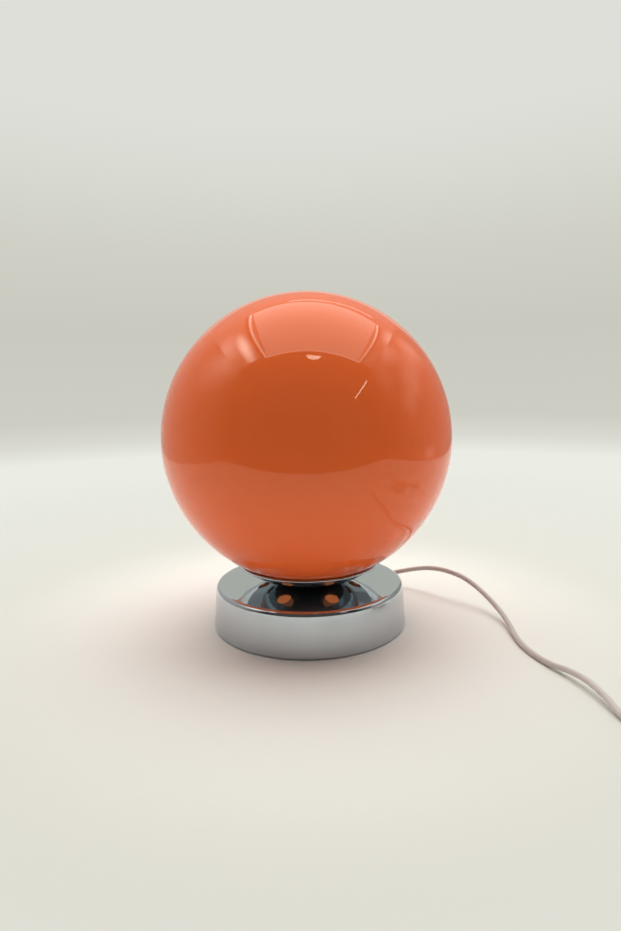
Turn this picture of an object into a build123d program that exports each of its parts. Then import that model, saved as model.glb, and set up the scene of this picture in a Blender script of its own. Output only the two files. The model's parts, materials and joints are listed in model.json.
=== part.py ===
from build123d import *
import os
from math import acos, asin, cos, degrees, pi, radians, sin, sqrt, tan

# Table lamp: a cased glass globe rests in a shallow spun dish on a flat drum base.
# Millimetres. Z is up, the origin is the centre of the felt on the table top.
# The camera side is -Y. The cord leaves the base at the rear right.

os.makedirs("parts", exist_ok=True)

# ---------------------------------------------------------------- driving sizes
fit_gap = 0.1            # thread and locating fits
run_gap = 0.35           # clearance between pieces that move apart

globe_r = 125.0          # outer radius of the glass globe
globe_wall = 3.0
neck_r = 51.0            # outer radius of the globe's short neck
neck_len = 2.0           # neck below the sphere

base_h = 37.8            # top of the drum above the table
base_top_r = 83.4
base_foot_r = 86.0       # the drum flares a little towards the table
base_edge_r = 3.75       # rounded top edge
base_wall = 1.2
base_lift = 1.0          # drum's lower edge above the table

felt_t = 2.0
cover_t = 1.2            # steel plate that closes the drum
cover_screw_r = 1.8
cover_screw_len = 12.0
cover_head_r = 3.4
cover_head_t = 1.5
boss_r = 6.0
boss_count = 3
boss_circle_r = 56.0
boss_angle = -12.0       # first boss, degrees from +X

ballast_r = 70.0
ballast_t = 12.0
ballast_edge = 2.0

tube_r = 5.0             # threaded centre tube
tube_bore_r = 3.5
tube_bottom_z = 16.0
tube_len = 48.0
nut_h = 4.0
nut_flats = 14.0         # across flats
washer_r = 10.0
washer_t = 1.5

dish_r = 62.5            # spun gallery dish, over its rolled rim
dish_h = 18.9            # top of the rim above the drum
dish_t = 1.2
dish_bead_r = 1.1
dish_foot_r = 12.5       # flat middle that sits on the drum
vent_count = 6
vent_r = 6.0
vent_circle_r = 41.0
vent_angle = -122.0

seat_edge = 0.5          # rubber ring's thickness under the neck's outer edge
seat_lip_h = 2.6         # upstand that centres the neck
seat_lip_t = 2.0

holder_r = 19.5          # lampholder body
holder_wall = 2.0
holder_bottom_z = 54.0
holder_boss_r = 8.0
holder_boss_h = 8.0
holder_cap_h = 27.0
holder_barrel_h = 29.0
holder_skirt_h = 5.0
insert_bottom_z = 74.0
insert_t = 12.0
sleeve_wall = 0.5
sleeve_h = 19.0

cap_r = 13.1             # screw cap of the bulb, crest radius
cap_root_r = 12.2
cap_pitch = 3.62
cap_turns = 5
bulb_r = 30.0
bulb_len = 108.0
bulb_neck_r = 14.5
bulb_wall = 0.8
bulb_tip_r = 4.6

cord_r = 2.3             # round two-core mains cord
core_r = 0.95            # one insulated core
exit_angle = 48.0        # cord's way out of the drum, degrees from +X
exit_z = 13.8
bush_nose = 5.0          # bush outside the drum
bush_flange_r = 6.4
bush_body_r = 4.4
clamp_r = 56.0           # cord clamp, distance from the axis
clamp_len = 9.0
clamp_w = 25.0
clamp_t = 4.5
clamp_screw_r = 1.5
clamp_screw_span = 16.0

switch_len = 62.0
switch_w = 26.0
switch_h = 17.0
switch_wall = 2.0
switch_corner = 8.0
switch_x = 274.0         # face where the lamp's cord goes in
switch_y = -243.0
switch_z = 8.0           # cord axis in the switch, and the case's parting plane
rocker_r = 8.2           # rocker's end arcs about its axle
rocker_w = 9.4
rocker_tilt = 8.0
axle_r = 1.2

coil_r = 37.0            # outer half turn, on the cord's axis
coil_turn_gap = 0.5      # free gap between neighbouring turns
coil_layer_gap = 0.45
coil_half_turns_in = 7
coil_half_turns_out = 8
coil_x = 360.0           # where the cord runs into the coil, on its right
coil_y = -140.0

plug_w = 35.3
plug_t = 13.7
plug_len = 36.0
plug_tail_len = 26.0
plug_tail_r = 4.5
pin_r = 2.0
pin_len = 19.0
pin_sleeve_len = 10.0
pin_span = 18.6


# ---------------------------------------------------------------- worked-out places
def radial(distance, height):
    """Point on the cord's way out of the drum."""
    a = radians(exit_angle)
    return Vector(distance * cos(a), distance * sin(a), height)


def radial_plane(distance, height=exit_z):
    """Plane square to the cord's way out, facing outwards."""
    a = radians(exit_angle)
    return Plane(origin=radial(distance, height), x_dir=(-sin(a), cos(a), 0), z_dir=(cos(a), sin(a), 0))


def write(builder, name):
    """Label a finished piece and write it out."""
    builder.part.label = name
    export_step(builder.part, f"parts/{name}.step")


exit_plan = Plane(origin=(0, 0, 0), x_dir=radial(1, 0), z_dir=(0, 0, 1))
flare = (base_foot_r - base_top_r) / (base_h - base_lift)


def drum_r(z, inset=0.0):
    """Drum's wall radius at a height."""
    return base_foot_r - flare * (z - base_lift) - inset


cover_bottom_z = felt_t
cover_top_z = felt_t + cover_t
ballast_top_z = base_h - base_wall
ballast_bottom_z = ballast_top_z - ballast_t

# Dish: its middle surface is an arc from the flat foot to the rolled rim.
rim_mid_r = dish_r - dish_bead_r
dish_run = rim_mid_r - dish_foot_r
dish_rise = dish_h - dish_bead_r - dish_t / 2
dish_arc_r = (dish_run**2 + dish_rise**2) / (2 * dish_rise)
dish_arc_z = base_h + dish_t / 2 + dish_arc_r
dish_sweep = degrees(asin(dish_run / dish_arc_r))


def dish_top_z(r):
    """Height of the dish's upper face at a radius."""
    return dish_arc_z - sqrt((dish_arc_r - dish_t / 2) ** 2 - (r - dish_foot_r) ** 2)


seat_r = neck_r + 0.6
seat_z = dish_top_z(seat_r) + seat_edge
globe_z = seat_z + neck_len + sqrt(globe_r**2 - neck_r**2)

tube_top_z = tube_bottom_z + tube_len
holder_cap_top_z = holder_bottom_z + holder_cap_h
holder_top_z = holder_cap_top_z + holder_barrel_h
insert_top_z = insert_bottom_z + insert_t
sleeve_r = cap_r + run_gap
skirt_r = holder_r - holder_wall - fit_gap
insert_r = skirt_r - 1.6 - fit_gap
bulb_tip_z = insert_top_z + 2.8
cap_bottom_z = bulb_tip_z + 3.4
cap_thread_h = cap_pitch * cap_turns
cap_skirt_h = 3.0
cap_top_z = cap_bottom_z + cap_thread_h + cap_skirt_h
bulb_top_z = bulb_tip_z + bulb_len
bulb_centre_z = bulb_top_z - bulb_r

wire_offset = 1.05       # each core from the cord's middle
terminal_r = 9.0
terminal_screw_r = 1.5
terminal_screw_len = 7.0
terminal_screw_z = insert_bottom_z + 4

# ---------------------------------------------------------------- glass globe


def arc_to_pole(radius, cut_r, centre_z):
    """Quarter arc of a sphere's section, from the neck up to the pole."""
    start = -degrees(acos(cut_r / radius))
    return CenterArc((0, centre_z), radius, start, 90 - start)


with BuildPart() as glass_globe:
    with BuildSketch(Plane.XZ) as globe_half:
        with BuildLine():
            outside = arc_to_pole(globe_r, neck_r, globe_z)
            inside = arc_to_pole(globe_r - globe_wall, neck_r - globe_wall, globe_z)
            Line(outside @ 1, inside @ 1)
            Polyline(inside @ 0, (neck_r - globe_wall, seat_z), (neck_r, seat_z), outside @ 0)
        make_face()
        fillet(globe_half.vertices().group_by(Axis.Y)[0], globe_wall / 3)
    revolve(axis=Axis.Z)
write(glass_globe, "glass_globe")

# ---------------------------------------------------------------- drum base


def drum_face(inset, bottom_z, edge_r):
    """Half section of the drum's outer form, drawn in by an inset."""
    with BuildSketch(Plane.XZ) as section:
        with BuildLine():
            Polyline((0, bottom_z), (drum_r(bottom_z, inset), bottom_z),
                     (drum_r(base_h, inset), base_h - inset), (0, base_h - inset), close=True)
        make_face()
        fillet(section.vertices().group_by(Axis.Y)[-1].sort_by(Axis.X)[-1], edge_r)
    return section


with BuildPart() as base_shell:
    revolve(drum_face(0, base_lift, base_edge_r).sketch, axis=Axis.Z)
    revolve(drum_face(base_wall, base_lift - 1, base_edge_r - base_wall).sketch, axis=Axis.Z,
            mode=Mode.SUBTRACT)
    with BuildSketch(Plane.XY.offset(base_h)):
        Circle(tube_r + fit_gap)
    extrude(amount=-2 * base_wall, mode=Mode.SUBTRACT)
    with BuildSketch(radial_plane(drum_r(exit_z) - 5 * base_wall)):
        Circle(bush_body_r + fit_gap)
    extrude(amount=10 * base_wall, mode=Mode.SUBTRACT)
write(base_shell, "base_shell")

with BuildPart() as ballast_weight:
    with BuildSketch(Plane.XY.offset(ballast_bottom_z)):
        Circle(ballast_r)
    extrude(amount=ballast_t)
    chamfer(ballast_weight.edges().group_by(Axis.Z)[-1], ballast_edge)
    with BuildSketch(Plane.XY.offset(ballast_bottom_z)) as bosses:
        with PolarLocations(boss_circle_r, boss_count, start_angle=boss_angle):
            Circle(boss_r)
    extrude(amount=-(ballast_bottom_z - cover_top_z))
    with BuildSketch(exit_plan.offset(ballast_bottom_z)):
        with Locations((clamp_r, 0)):
            Rectangle(clamp_len + 2, clamp_w)
    extrude(amount=-(ballast_bottom_z - exit_z - cord_r))
    with PolarLocations(boss_circle_r, boss_count, start_angle=boss_angle):
        with Locations((0, 0, cover_top_z)):
            Cylinder(cover_screw_r, cover_screw_len, align=(Align.CENTER, Align.CENTER, Align.MIN),
                     mode=Mode.SUBTRACT)
    with BuildSketch(exit_plan.offset(exit_z + cord_r)):
        with Locations((clamp_r, clamp_screw_span / 2), (clamp_r, -clamp_screw_span / 2)):
            Circle(clamp_screw_r)
    extrude(amount=7, mode=Mode.SUBTRACT)
    with BuildSketch(Plane.XY.offset(ballast_bottom_z)):
        Circle(tube_r + fit_gap)
    extrude(amount=ballast_t, mode=Mode.SUBTRACT)
write(ballast_weight, "ballast_weight")

with BuildPart() as bottom_cover:
    with BuildSketch(Plane.XY.offset(cover_bottom_z)):
        Circle(drum_r(cover_bottom_z, base_wall) - 0.5)
        with PolarLocations(boss_circle_r, boss_count, start_angle=boss_angle):
            Circle(cover_screw_r + fit_gap, mode=Mode.SUBTRACT)
    extrude(amount=cover_t)
write(bottom_cover, "bottom_cover")

with BuildPart() as cover_screws:
    with PolarLocations(boss_circle_r, boss_count, start_angle=boss_angle):
        with Locations((0, 0, cover_bottom_z)):
            Cylinder(cover_head_r, cover_head_t, align=(Align.CENTER, Align.CENTER, Align.MAX))
            Cylinder(cover_screw_r - fit_gap / 2, cover_screw_len + cover_t - 1,
                     align=(Align.CENTER, Align.CENTER, Align.MIN))
        with Locations((0, 0, cover_bottom_z - cover_head_t)):
            Box(2 * cover_head_r, 0.8, 0.7, align=(Align.CENTER, Align.CENTER, Align.MIN),
                mode=Mode.SUBTRACT)
write(cover_screws, "cover_screws")

with BuildPart() as felt_pad:
    with BuildSketch(Plane.XY):
        Circle(drum_r(base_lift, base_wall) - 1.2)
        with PolarLocations(boss_circle_r, boss_count, start_angle=boss_angle):
            Circle(cover_head_r + 1, mode=Mode.SUBTRACT)
    extrude(amount=felt_t)
write(felt_pad, "felt_pad")

# ---------------------------------------------------------------- centre tube and its clamping stack
with BuildPart() as centre_tube:
    with BuildSketch(Plane.XY.offset(tube_bottom_z)):
        Circle(tube_r)
        Circle(tube_bore_r, mode=Mode.SUBTRACT)
    extrude(amount=tube_len)
    chamfer(centre_tube.edges().filter_by(GeomType.CIRCLE).sort_by(SortBy.RADIUS)[-2:], 0.5)
write(centre_tube, "centre_tube")


def washer(z, name):
    """Flat washer on the centre tube, its lower face at z."""
    with BuildPart() as disc:
        with BuildSketch(Plane.XY.offset(z)):
            Circle(washer_r)
            Circle(tube_r + fit_gap, mode=Mode.SUBTRACT)
        extrude(amount=washer_t)
    write(disc, name)


def nut(z, name):
    """Hexagon nut on the centre tube, its lower face at z."""
    with BuildPart() as hexagon:
        with BuildSketch(Plane.XY.offset(z)):
            RegularPolygon(nut_flats / 2, 6, major_radius=False)
            Circle(tube_r + fit_gap, mode=Mode.SUBTRACT)
        extrude(amount=nut_h)
    write(hexagon, name)


washer(ballast_bottom_z - washer_t, "bottom_washer")
nut(ballast_bottom_z - washer_t - nut_h, "bottom_nut")
washer(base_h + dish_t, "top_washer")
nut(base_h + dish_t + washer_t, "top_nut")

# ---------------------------------------------------------------- gallery dish and its rubber ring


def dish_arc(radius):
    """Arc of the dish's section about the common centre."""
    return CenterArc((dish_foot_r, dish_arc_z), radius, -90, dish_sweep)


with BuildPart() as gallery_dish:
    with BuildSketch(Plane.XZ):
        with BuildLine():
            under = dish_arc(dish_arc_r + dish_t / 2)
            over = dish_arc(dish_arc_r - dish_t / 2)
            Line(under @ 1, over @ 1)
            Polyline(under @ 0, (tube_r + fit_gap, base_h), (tube_r + fit_gap, base_h + dish_t), over @ 0)
        make_face()
        with Locations((rim_mid_r, base_h + dish_h - dish_bead_r)):
            Circle(dish_bead_r)
    revolve(axis=Axis.Z)
    with BuildSketch(Plane.XY.offset(base_h)):
        with PolarLocations(vent_circle_r, vent_count, start_angle=vent_angle):
            Circle(vent_r)
    extrude(amount=dish_h, mode=Mode.SUBTRACT)
write(gallery_dish, "gallery_dish")

lip_r = neck_r - globe_wall - 0.5
with BuildPart() as seat_ring:
    with BuildSketch(Plane.XZ) as ring_half:
        with BuildLine():
            Polyline((lip_r - seat_lip_t, base_h), (lip_r - seat_lip_t, seat_z + seat_lip_h),
                     (lip_r, seat_z + seat_lip_h), (lip_r, seat_z), (seat_r, seat_z), (seat_r, base_h),
                     close=True)
        make_face()
        with Locations((dish_foot_r, dish_arc_z)):
            Circle(dish_arc_r - dish_t / 2, mode=Mode.INTERSECT)
        fillet(ring_half.vertices().group_by(Axis.Y)[-1], seat_lip_t / 3)
    revolve(axis=Axis.Z)
write(seat_ring, "seat_ring")

# ---------------------------------------------------------------- cord bush, clamp and the wiring inside


def drum_body(grow):
    """The drum's outer cone as a plain solid, grown or drawn in by an amount."""
    return Solid.make_cone(drum_r(0, -grow), drum_r(base_h, -grow), base_h)


bush_out_r = drum_r(exit_z) + bush_nose
with BuildPart() as cord_bush:
    with BuildSketch(radial_plane(drum_r(exit_z) - 4)):
        Circle(bush_flange_r)
    extrude(amount=5.6)
    add(drum_body(0.05), mode=Mode.SUBTRACT)
    with BuildSketch(radial_plane(drum_r(exit_z) - 5)):
        Circle(bush_body_r)
    extrude(amount=5 + bush_nose)
    with BuildSketch(radial_plane(drum_r(exit_z) - 5)):
        Circle(bush_body_r + 0.8)
    extrude(amount=3)
    fillet(cord_bush.edges().filter_by(GeomType.CIRCLE).sort_by(Axis(radial(0, exit_z), radial(1, 0)))[-1], 1)
    with BuildSketch(radial_plane(drum_r(exit_z) - 6)):
        Circle(cord_r + fit_gap)
    extrude(amount=10 + bush_nose, mode=Mode.SUBTRACT)
write(cord_bush, "cord_bush")

lead_end_r = 28.0
with BuildPart() as inner_lead:
    with BuildSketch(radial_plane(lead_end_r)):
        Circle(cord_r)
    extrude(amount=bush_out_r - lead_end_r)
write(inner_lead, "inner_lead")

with BuildPart() as cord_clamp:
    with BuildSketch(exit_plan.offset(exit_z + cord_r - 0.3)):
        with Locations((clamp_r, 0)):
            RectangleRounded(clamp_len, clamp_w, 2)
    extrude(amount=-clamp_t - cord_r)
    with BuildSketch(radial_plane(clamp_r - clamp_len)):
        with Locations((0, cord_r)):
            Rectangle(2 * cord_r + 2 * fit_gap, 2 * cord_r)
        Circle(cord_r + fit_gap)
    extrude(amount=2 * clamp_len, mode=Mode.SUBTRACT)
    with BuildSketch(exit_plan.offset(0)):
        with Locations((clamp_r, clamp_screw_span / 2), (clamp_r, -clamp_screw_span / 2)):
            Circle(clamp_screw_r + fit_gap)
    extrude(amount=base_h, mode=Mode.SUBTRACT)
write(cord_clamp, "cord_clamp")

clamp_bottom_z = exit_z - 0.3 - clamp_t
with BuildPart() as clamp_screws:
    with BuildSketch(exit_plan.offset(clamp_bottom_z)):
        with Locations((clamp_r, clamp_screw_span / 2), (clamp_r, -clamp_screw_span / 2)):
            Circle(clamp_screw_r - fit_gap / 2)
    extrude(amount=clamp_t + cord_r + 6)
    with BuildSketch(exit_plan.offset(clamp_bottom_z)):
        with Locations((clamp_r, clamp_screw_span / 2), (clamp_r, -clamp_screw_span / 2)):
            Circle(2 * clamp_screw_r)
            Rectangle(4 * clamp_screw_r, 0.7, mode=Mode.SUBTRACT)
    extrude(amount=-1.8)
write(clamp_screws, "clamp_screws")


def bend_radii(points):
    """Largest easy bend at each inner point of a route."""
    radii = []
    for before, here, after in zip(points, points[1:], points[2:]):
        first = Vector(*here) - Vector(*before)
        second = Vector(*after) - Vector(*here)
        turn = radians(first.get_angle(second))
        radii.append(0.45 * min(first.length, second.length) / tan(turn / 2))
    return radii


def tube(points, radius, name):
    """Round tube along straight runs joined by tangent arcs."""
    radii = bend_radii(points)
    with BuildPart() as piece:
        with BuildLine():
            route = FilletPolyline(*points, radius=radii)
        with BuildSketch(Plane(origin=route @ 0, z_dir=route % 0)):
            Circle(radius)
        sweep()
    length = route.length
    print(f"{name}: length {length:.1f}, volume {piece.part.volume:.0f}, "
          f"section x length {pi * radius**2 * length:.0f}, bends " + " ".join(f"{r:.0f}" for r in radii))
    return piece


def core_route(side):
    """One core: out of the sheath, up the centre tube and out to its terminal."""
    a = radians(exit_angle)
    stops = [(lead_end_r, wire_offset, exit_z), (lead_end_r - 4, wire_offset, exit_z),
             (15, wire_offset, 8.5), (0, wire_offset, 7.0),
             (0, wire_offset, tube_top_z + 2), (0, terminal_r, tube_top_z + 8),
             (0, terminal_r, insert_bottom_z + 5)]
    return [(u * cos(a) - side * v * sin(a), u * sin(a) + side * v * cos(a), z) for u, v, z in stops]


with BuildPart() as core_wires:
    add(tube(core_route(1), core_r, "core").part)
    add(tube(core_route(-1), core_r, "core").part)
write(core_wires, "core_wires")

# ---------------------------------------------------------------- lampholder
with BuildPart() as holder_cap:
    with BuildSketch(Plane.XZ) as cap_half:
        with BuildLine():
            dome_z = holder_bottom_z + 3
            outer = ThreePointArc((holder_boss_r, dome_z), (holder_r * 0.8, dome_z + 4.5),
                                  (holder_r, dome_z + 14))
            Polyline(outer @ 1, (holder_r, holder_cap_top_z),
                     (holder_r - holder_wall, holder_cap_top_z),
                     (holder_r - holder_wall, dome_z + 14))
            Polyline(outer @ 0, (holder_boss_r, holder_bottom_z), (tube_r + fit_gap, holder_bottom_z),
                     (tube_r + fit_gap, holder_bottom_z + holder_boss_h))
            ThreePointArc((tube_r + fit_gap, holder_bottom_z + holder_boss_h),
                          (holder_r * 0.72, dome_z + 7.5), (holder_r - holder_wall, dome_z + 14))
        make_face()
    revolve(axis=Axis.Z)
    with BuildSketch(Plane.YZ):
        with Locations((0, holder_bottom_z + 1.6)):
            Circle(1.25)
    extrude(amount=-holder_r, mode=Mode.SUBTRACT)
write(holder_cap, "holder_cap")

with BuildPart() as holder_grub_screw:
    with BuildSketch(Plane.YZ.offset(-tube_r - fit_gap)):
        with Locations((0, holder_bottom_z + 1.6)):
            Circle(1.2)
    extrude(amount=-(holder_boss_r - tube_r - fit_gap))
write(holder_grub_screw, "holder_grub_screw")

with BuildPart() as holder_barrel:
    with BuildSketch(Plane.XZ):
        with BuildLine():
            lip = sleeve_r + sleeve_wall + 0.6
            Polyline((skirt_r, holder_cap_top_z - holder_skirt_h), (skirt_r, holder_cap_top_z),
                     (holder_r, holder_cap_top_z), (holder_r, holder_top_z - 1.5),
                     (holder_r - 1.5, holder_top_z), (lip, holder_top_z), (lip, holder_top_z - 2),
                     (insert_r + fit_gap, holder_top_z - 3.5),
                     (insert_r + fit_gap, holder_cap_top_z - holder_skirt_h), close=True)
        make_face()
    revolve(axis=Axis.Z)
write(holder_barrel, "holder_barrel")

with BuildPart() as holder_insert:
    with BuildSketch(Plane.XY.offset(insert_bottom_z)):
        Circle(insert_r)
    extrude(amount=insert_t)
    with BuildSketch(exit_plan.offset(insert_bottom_z)):
        with Locations((0, terminal_r), (0, -terminal_r)):
            Circle(core_r + fit_gap)
    extrude(amount=terminal_screw_z - insert_bottom_z + 3, mode=Mode.SUBTRACT)
    with BuildSketch(radial_plane(core_r, terminal_screw_z)):
        with Locations((terminal_r, 0), (-terminal_r, 0)):
            Circle(terminal_screw_r + fit_gap)
    extrude(amount=holder_r, mode=Mode.SUBTRACT)
write(holder_insert, "holder_insert")

with BuildPart() as terminal_screws:
    with BuildSketch(radial_plane(core_r + fit_gap, terminal_screw_z)):
        with Locations((terminal_r, 0), (-terminal_r, 0)):
            Circle(terminal_screw_r)
    extrude(amount=terminal_screw_len)
    with BuildSketch(radial_plane(core_r + fit_gap + terminal_screw_len, terminal_screw_z)):
        with Locations((terminal_r, 0), (-terminal_r, 0)):
            Rectangle(3 * terminal_screw_r, 0.6)
    extrude(amount=-0.8, mode=Mode.SUBTRACT)
write(terminal_screws, "terminal_screws")

with BuildPart() as screw_sleeve:
    with BuildSketch(Plane.XY.offset(insert_top_z)):
        Circle(sleeve_r + sleeve_wall)
        Circle(sleeve_r, mode=Mode.SUBTRACT)
    extrude(amount=sleeve_h)
    with BuildSketch(Plane.XY.offset(insert_top_z)):
        Circle(sleeve_r + sleeve_wall)
        Circle(sleeve_r - 3, mode=Mode.SUBTRACT)
    extrude(amount=sleeve_wall)
write(screw_sleeve, "screw_sleeve")

spring_rise = bulb_tip_z - 0.3 - insert_top_z
spring_t = 0.5
with BuildPart() as centre_contact:
    with BuildSketch(Plane(origin=(0, 0, insert_top_z), x_dir=(1, 0, 0), z_dir=(0, -1, 0))):
        with BuildLine():
            Polyline((-8, 0), (-3.5, 0), (0, spring_rise - spring_t), (3.5, spring_rise - spring_t),
                     (3.5, spring_rise), (-0.3, spring_rise), (-3.8, spring_t), (-8, spring_t),
                     close=True)
        make_face()
    extrude(amount=2.5, both=True)
write(centre_contact, "centre_contact")

# ---------------------------------------------------------------- bulb
with BuildPart() as bulb_tip:
    with BuildSketch(Plane.XY.offset(bulb_tip_z)):
        Circle(bulb_tip_r)
    extrude(amount=1.8)
    fillet(bulb_tip.edges().group_by(Axis.Z)[0], 1.2)
write(bulb_tip, "bulb_tip")

with BuildPart() as cap_insulator:
    with BuildSketch(Plane.XZ):
        with BuildLine():
            Polyline((0, bulb_tip_z + 2.1), (bulb_tip_r + 1, bulb_tip_z + 2.1),
                     (cap_root_r - 1, cap_bottom_z - 0.2), (cap_root_r - 1, cap_bottom_z + 1.5),
                     (0, cap_bottom_z + 1.5), close=True)
        make_face()
    revolve(axis=Axis.Z)
write(cap_insulator, "cap_insulator")

cap_inner_r = cap_root_r - 0.6
with BuildPart() as bulb_cap:
    with BuildSketch(Plane.XZ):
        with BuildLine():
            mean_r = (cap_r + cap_root_r) / 2
            for turn in range(cap_turns):
                z = cap_bottom_z + turn * cap_pitch
                ThreePointArc((mean_r, z), (cap_root_r, z + cap_pitch / 4), (mean_r, z + cap_pitch / 2))
                ThreePointArc((mean_r, z + cap_pitch / 2), (cap_r, z + cap_pitch * 3 / 4),
                              (mean_r, z + cap_pitch))
            Polyline((mean_r, cap_bottom_z + cap_thread_h), (cap_r, cap_top_z - cap_skirt_h + 1),
                     (cap_r, cap_top_z), (cap_inner_r, cap_top_z), (cap_inner_r, cap_bottom_z + 1.6),
                     (cap_root_r - 0.9, cap_bottom_z + 1.6), (cap_root_r - 0.9, cap_bottom_z),
                     (mean_r, cap_bottom_z))
        make_face()
    revolve(axis=Axis.Z)
write(bulb_cap, "bulb_cap")

blend_angle = 32.0
cap_glass_z = cap_bottom_z + 6


def envelope_half(inset, bottom_z):
    """Half section of the bulb's glass, drawn in by an inset."""
    radius = bulb_r - inset
    a = radians(blend_angle)
    shoulder = (radius * cos(a), bulb_centre_z - radius * sin(a))
    with BuildSketch(Plane.XZ) as section:
        with BuildLine():
            CenterArc((0, bulb_centre_z), radius, -blend_angle, 90 + blend_angle)
            neck = TangentArc(shoulder, (bulb_neck_r - 1 - inset, cap_top_z + inset),
                              tangent=(-sin(a), -cos(a)))
            Polyline(neck @ 1, (cap_inner_r - fit_gap - inset, cap_top_z + inset),
                     (cap_inner_r - fit_gap - inset, bottom_z), (0, bottom_z), (0, bulb_centre_z + radius))
        make_face()
    return section


with BuildPart() as bulb_envelope:
    revolve(envelope_half(0, cap_glass_z).sketch, axis=Axis.Z)
    revolve(envelope_half(bulb_wall, cap_glass_z - 1).sketch, axis=Axis.Z, mode=Mode.SUBTRACT)
write(bulb_envelope, "bulb_envelope")

stem_r = 2.5
stem_top_z = cap_top_z + 22
with BuildPart() as bulb_stem:
    with BuildSketch(Plane.XZ):
        with BuildLine():
            flare_end = (cap_inner_r - fit_gap - bulb_wall - fit_gap, cap_glass_z + 1)
            curve = ThreePointArc((stem_r, cap_glass_z + 9), (stem_r + 2.2, cap_glass_z + 3), flare_end)
            Polyline(curve @ 1, (cap_inner_r - 1.2, cap_glass_z), (0, cap_glass_z), (0, stem_top_z),
                     (stem_r, stem_top_z), curve @ 0)
        make_face()
    revolve(axis=Axis.Z)
write(bulb_stem, "bulb_stem")

filament_half = 11.0
filament_stops = [(1.6, 0, stem_top_z), (1.6, 0, stem_top_z + 4), (4.5, 0, stem_top_z + 14),
                  (filament_half, 0, bulb_centre_z)]
filament = tube([(-x, y, z) for x, y, z in filament_stops] + [(0, 0, bulb_centre_z + 5)]
                + filament_stops[::-1], 0.4, "filament")
write(filament, "filament")

# ---------------------------------------------------------------- free cord, lamp to switch
bush_face = radial(bush_out_r, exit_z)
first_bend = radial(bush_out_r + 14.2, exit_z)
lamp_side = [tuple(bush_face), tuple(first_bend), (85.5, 83.5, 14.8), (100.5, 80.5, 18.3),
             (112.5, 71, 23.3), (122.5, 58, 27.5), (135, 44, 29.1), (150, 30, 25.6), (162, 13.5, 17.2),
             (170, -6.5, 9.4), (172.5, -29.5, 4.9), (170.5, -53.5, 2.6), (171.5, -78.5, cord_r),
             (179, -103, cord_r), (190, -126, 6.3), (195.5, -152.5, 6.7), (197, -179, cord_r),
             (205, -203, cord_r), (219, -224, 2.8), (239, -238, 5.2), (258, -243, switch_z),
             (switch_x, switch_y, switch_z)]
write(tube(lamp_side, cord_r, "free_cord_lamp"), "free_cord_lamp")

# ---------------------------------------------------------------- in-line switch
switch_plan = Plane(origin=(switch_x + switch_len / 2, switch_y, 0), x_dir=(1, 0, 0), z_dir=(0, 0, 1))
switch_front = Plane(origin=(switch_x, switch_y, switch_z), x_dir=(0, 1, 0), z_dir=(1, 0, 0))
switch_side = Plane(origin=switch_plan.origin, x_dir=(1, 0, 0), z_dir=(0, -1, 0))
screw_spots = [(switch_len / 2 - 10, -7.2), (10 - switch_len / 2, 7.2)]
rocker_z = switch_h - 2.5
rocker_side = Plane(origin=(switch_x + switch_len / 2, switch_y, rocker_z), x_dir=(1, 0, 0),
                    z_dir=(0, -1, 0))


def case_half(low_z, high_z, floor_z, edge_z, edge_r):
    """Half of the switch's case: rounded shell with screw posts and cord mouths."""
    with BuildPart() as half:
        with BuildSketch(switch_plan.offset(low_z)):
            RectangleRounded(switch_len, switch_w, switch_corner)
        extrude(amount=high_z - low_z)
        rim = half.edges().group_by(Axis.Z)[0 if edge_z == low_z else -1]
        fillet(rim, edge_r)
        with BuildSketch(switch_plan.offset(floor_z)):
            RectangleRounded(switch_len - 2 * switch_wall, switch_w - 2 * switch_wall,
                             switch_corner - switch_wall)
            with Locations(*screw_spots):
                Circle(3.2, mode=Mode.SUBTRACT)
        extrude(amount=switch_z - floor_z, mode=Mode.SUBTRACT)
        with BuildSketch(switch_front):
            Circle(cord_r + fit_gap)
        extrude(amount=switch_len, mode=Mode.SUBTRACT)
    return half


with BuildPart() as switch_lower:
    add(case_half(0, switch_z, switch_wall, 0, 1.8).part)
    with BuildSketch(switch_plan):
        with Locations(*screw_spots):
            Circle(1.5)
    extrude(amount=switch_z, mode=Mode.SUBTRACT)
    with BuildSketch(switch_plan):
        with Locations(*screw_spots):
            Circle(2.7)
    extrude(amount=2.2, mode=Mode.SUBTRACT)
write(switch_lower, "switch_lower")

with BuildPart() as switch_upper:
    add(case_half(switch_z, switch_h, switch_h - switch_wall, switch_h, 3.0).part)
    with BuildSketch(switch_plan.offset(rocker_z - 2.6)):
        with Locations((0, rocker_w / 2 + 1.3), (0, -rocker_w / 2 - 1.3)):
            Rectangle(6, 1.9)
    extrude(amount=switch_h - switch_wall / 2 - rocker_z + 2.6)
    with BuildSketch(switch_plan.offset(switch_h)):
        RectangleRounded(2 * (rocker_r + run_gap), rocker_w + 2 * run_gap, 0.5)
    extrude(amount=-switch_wall, mode=Mode.SUBTRACT)
    with BuildSketch(rocker_side):
        Circle(axle_r + 0.03)
    extrude(amount=rocker_w / 2 + 3, both=True, mode=Mode.SUBTRACT)
    with BuildSketch(switch_plan.offset(switch_z)):
        with Locations(*screw_spots):
            Circle(1.3)
    extrude(amount=5, mode=Mode.SUBTRACT)
write(switch_upper, "switch_upper")

with BuildPart() as switch_screws:
    with BuildSketch(switch_plan.offset(2.2)):
        with Locations(*screw_spots):
            Circle(1.25)
    extrude(amount=10.5)
    with BuildSketch(switch_plan.offset(0.6)):
        with Locations(*screw_spots):
            Circle(2.5)
            Rectangle(5, 0.7, mode=Mode.SUBTRACT)
    extrude(amount=1.6)
write(switch_screws, "switch_screws")

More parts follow.
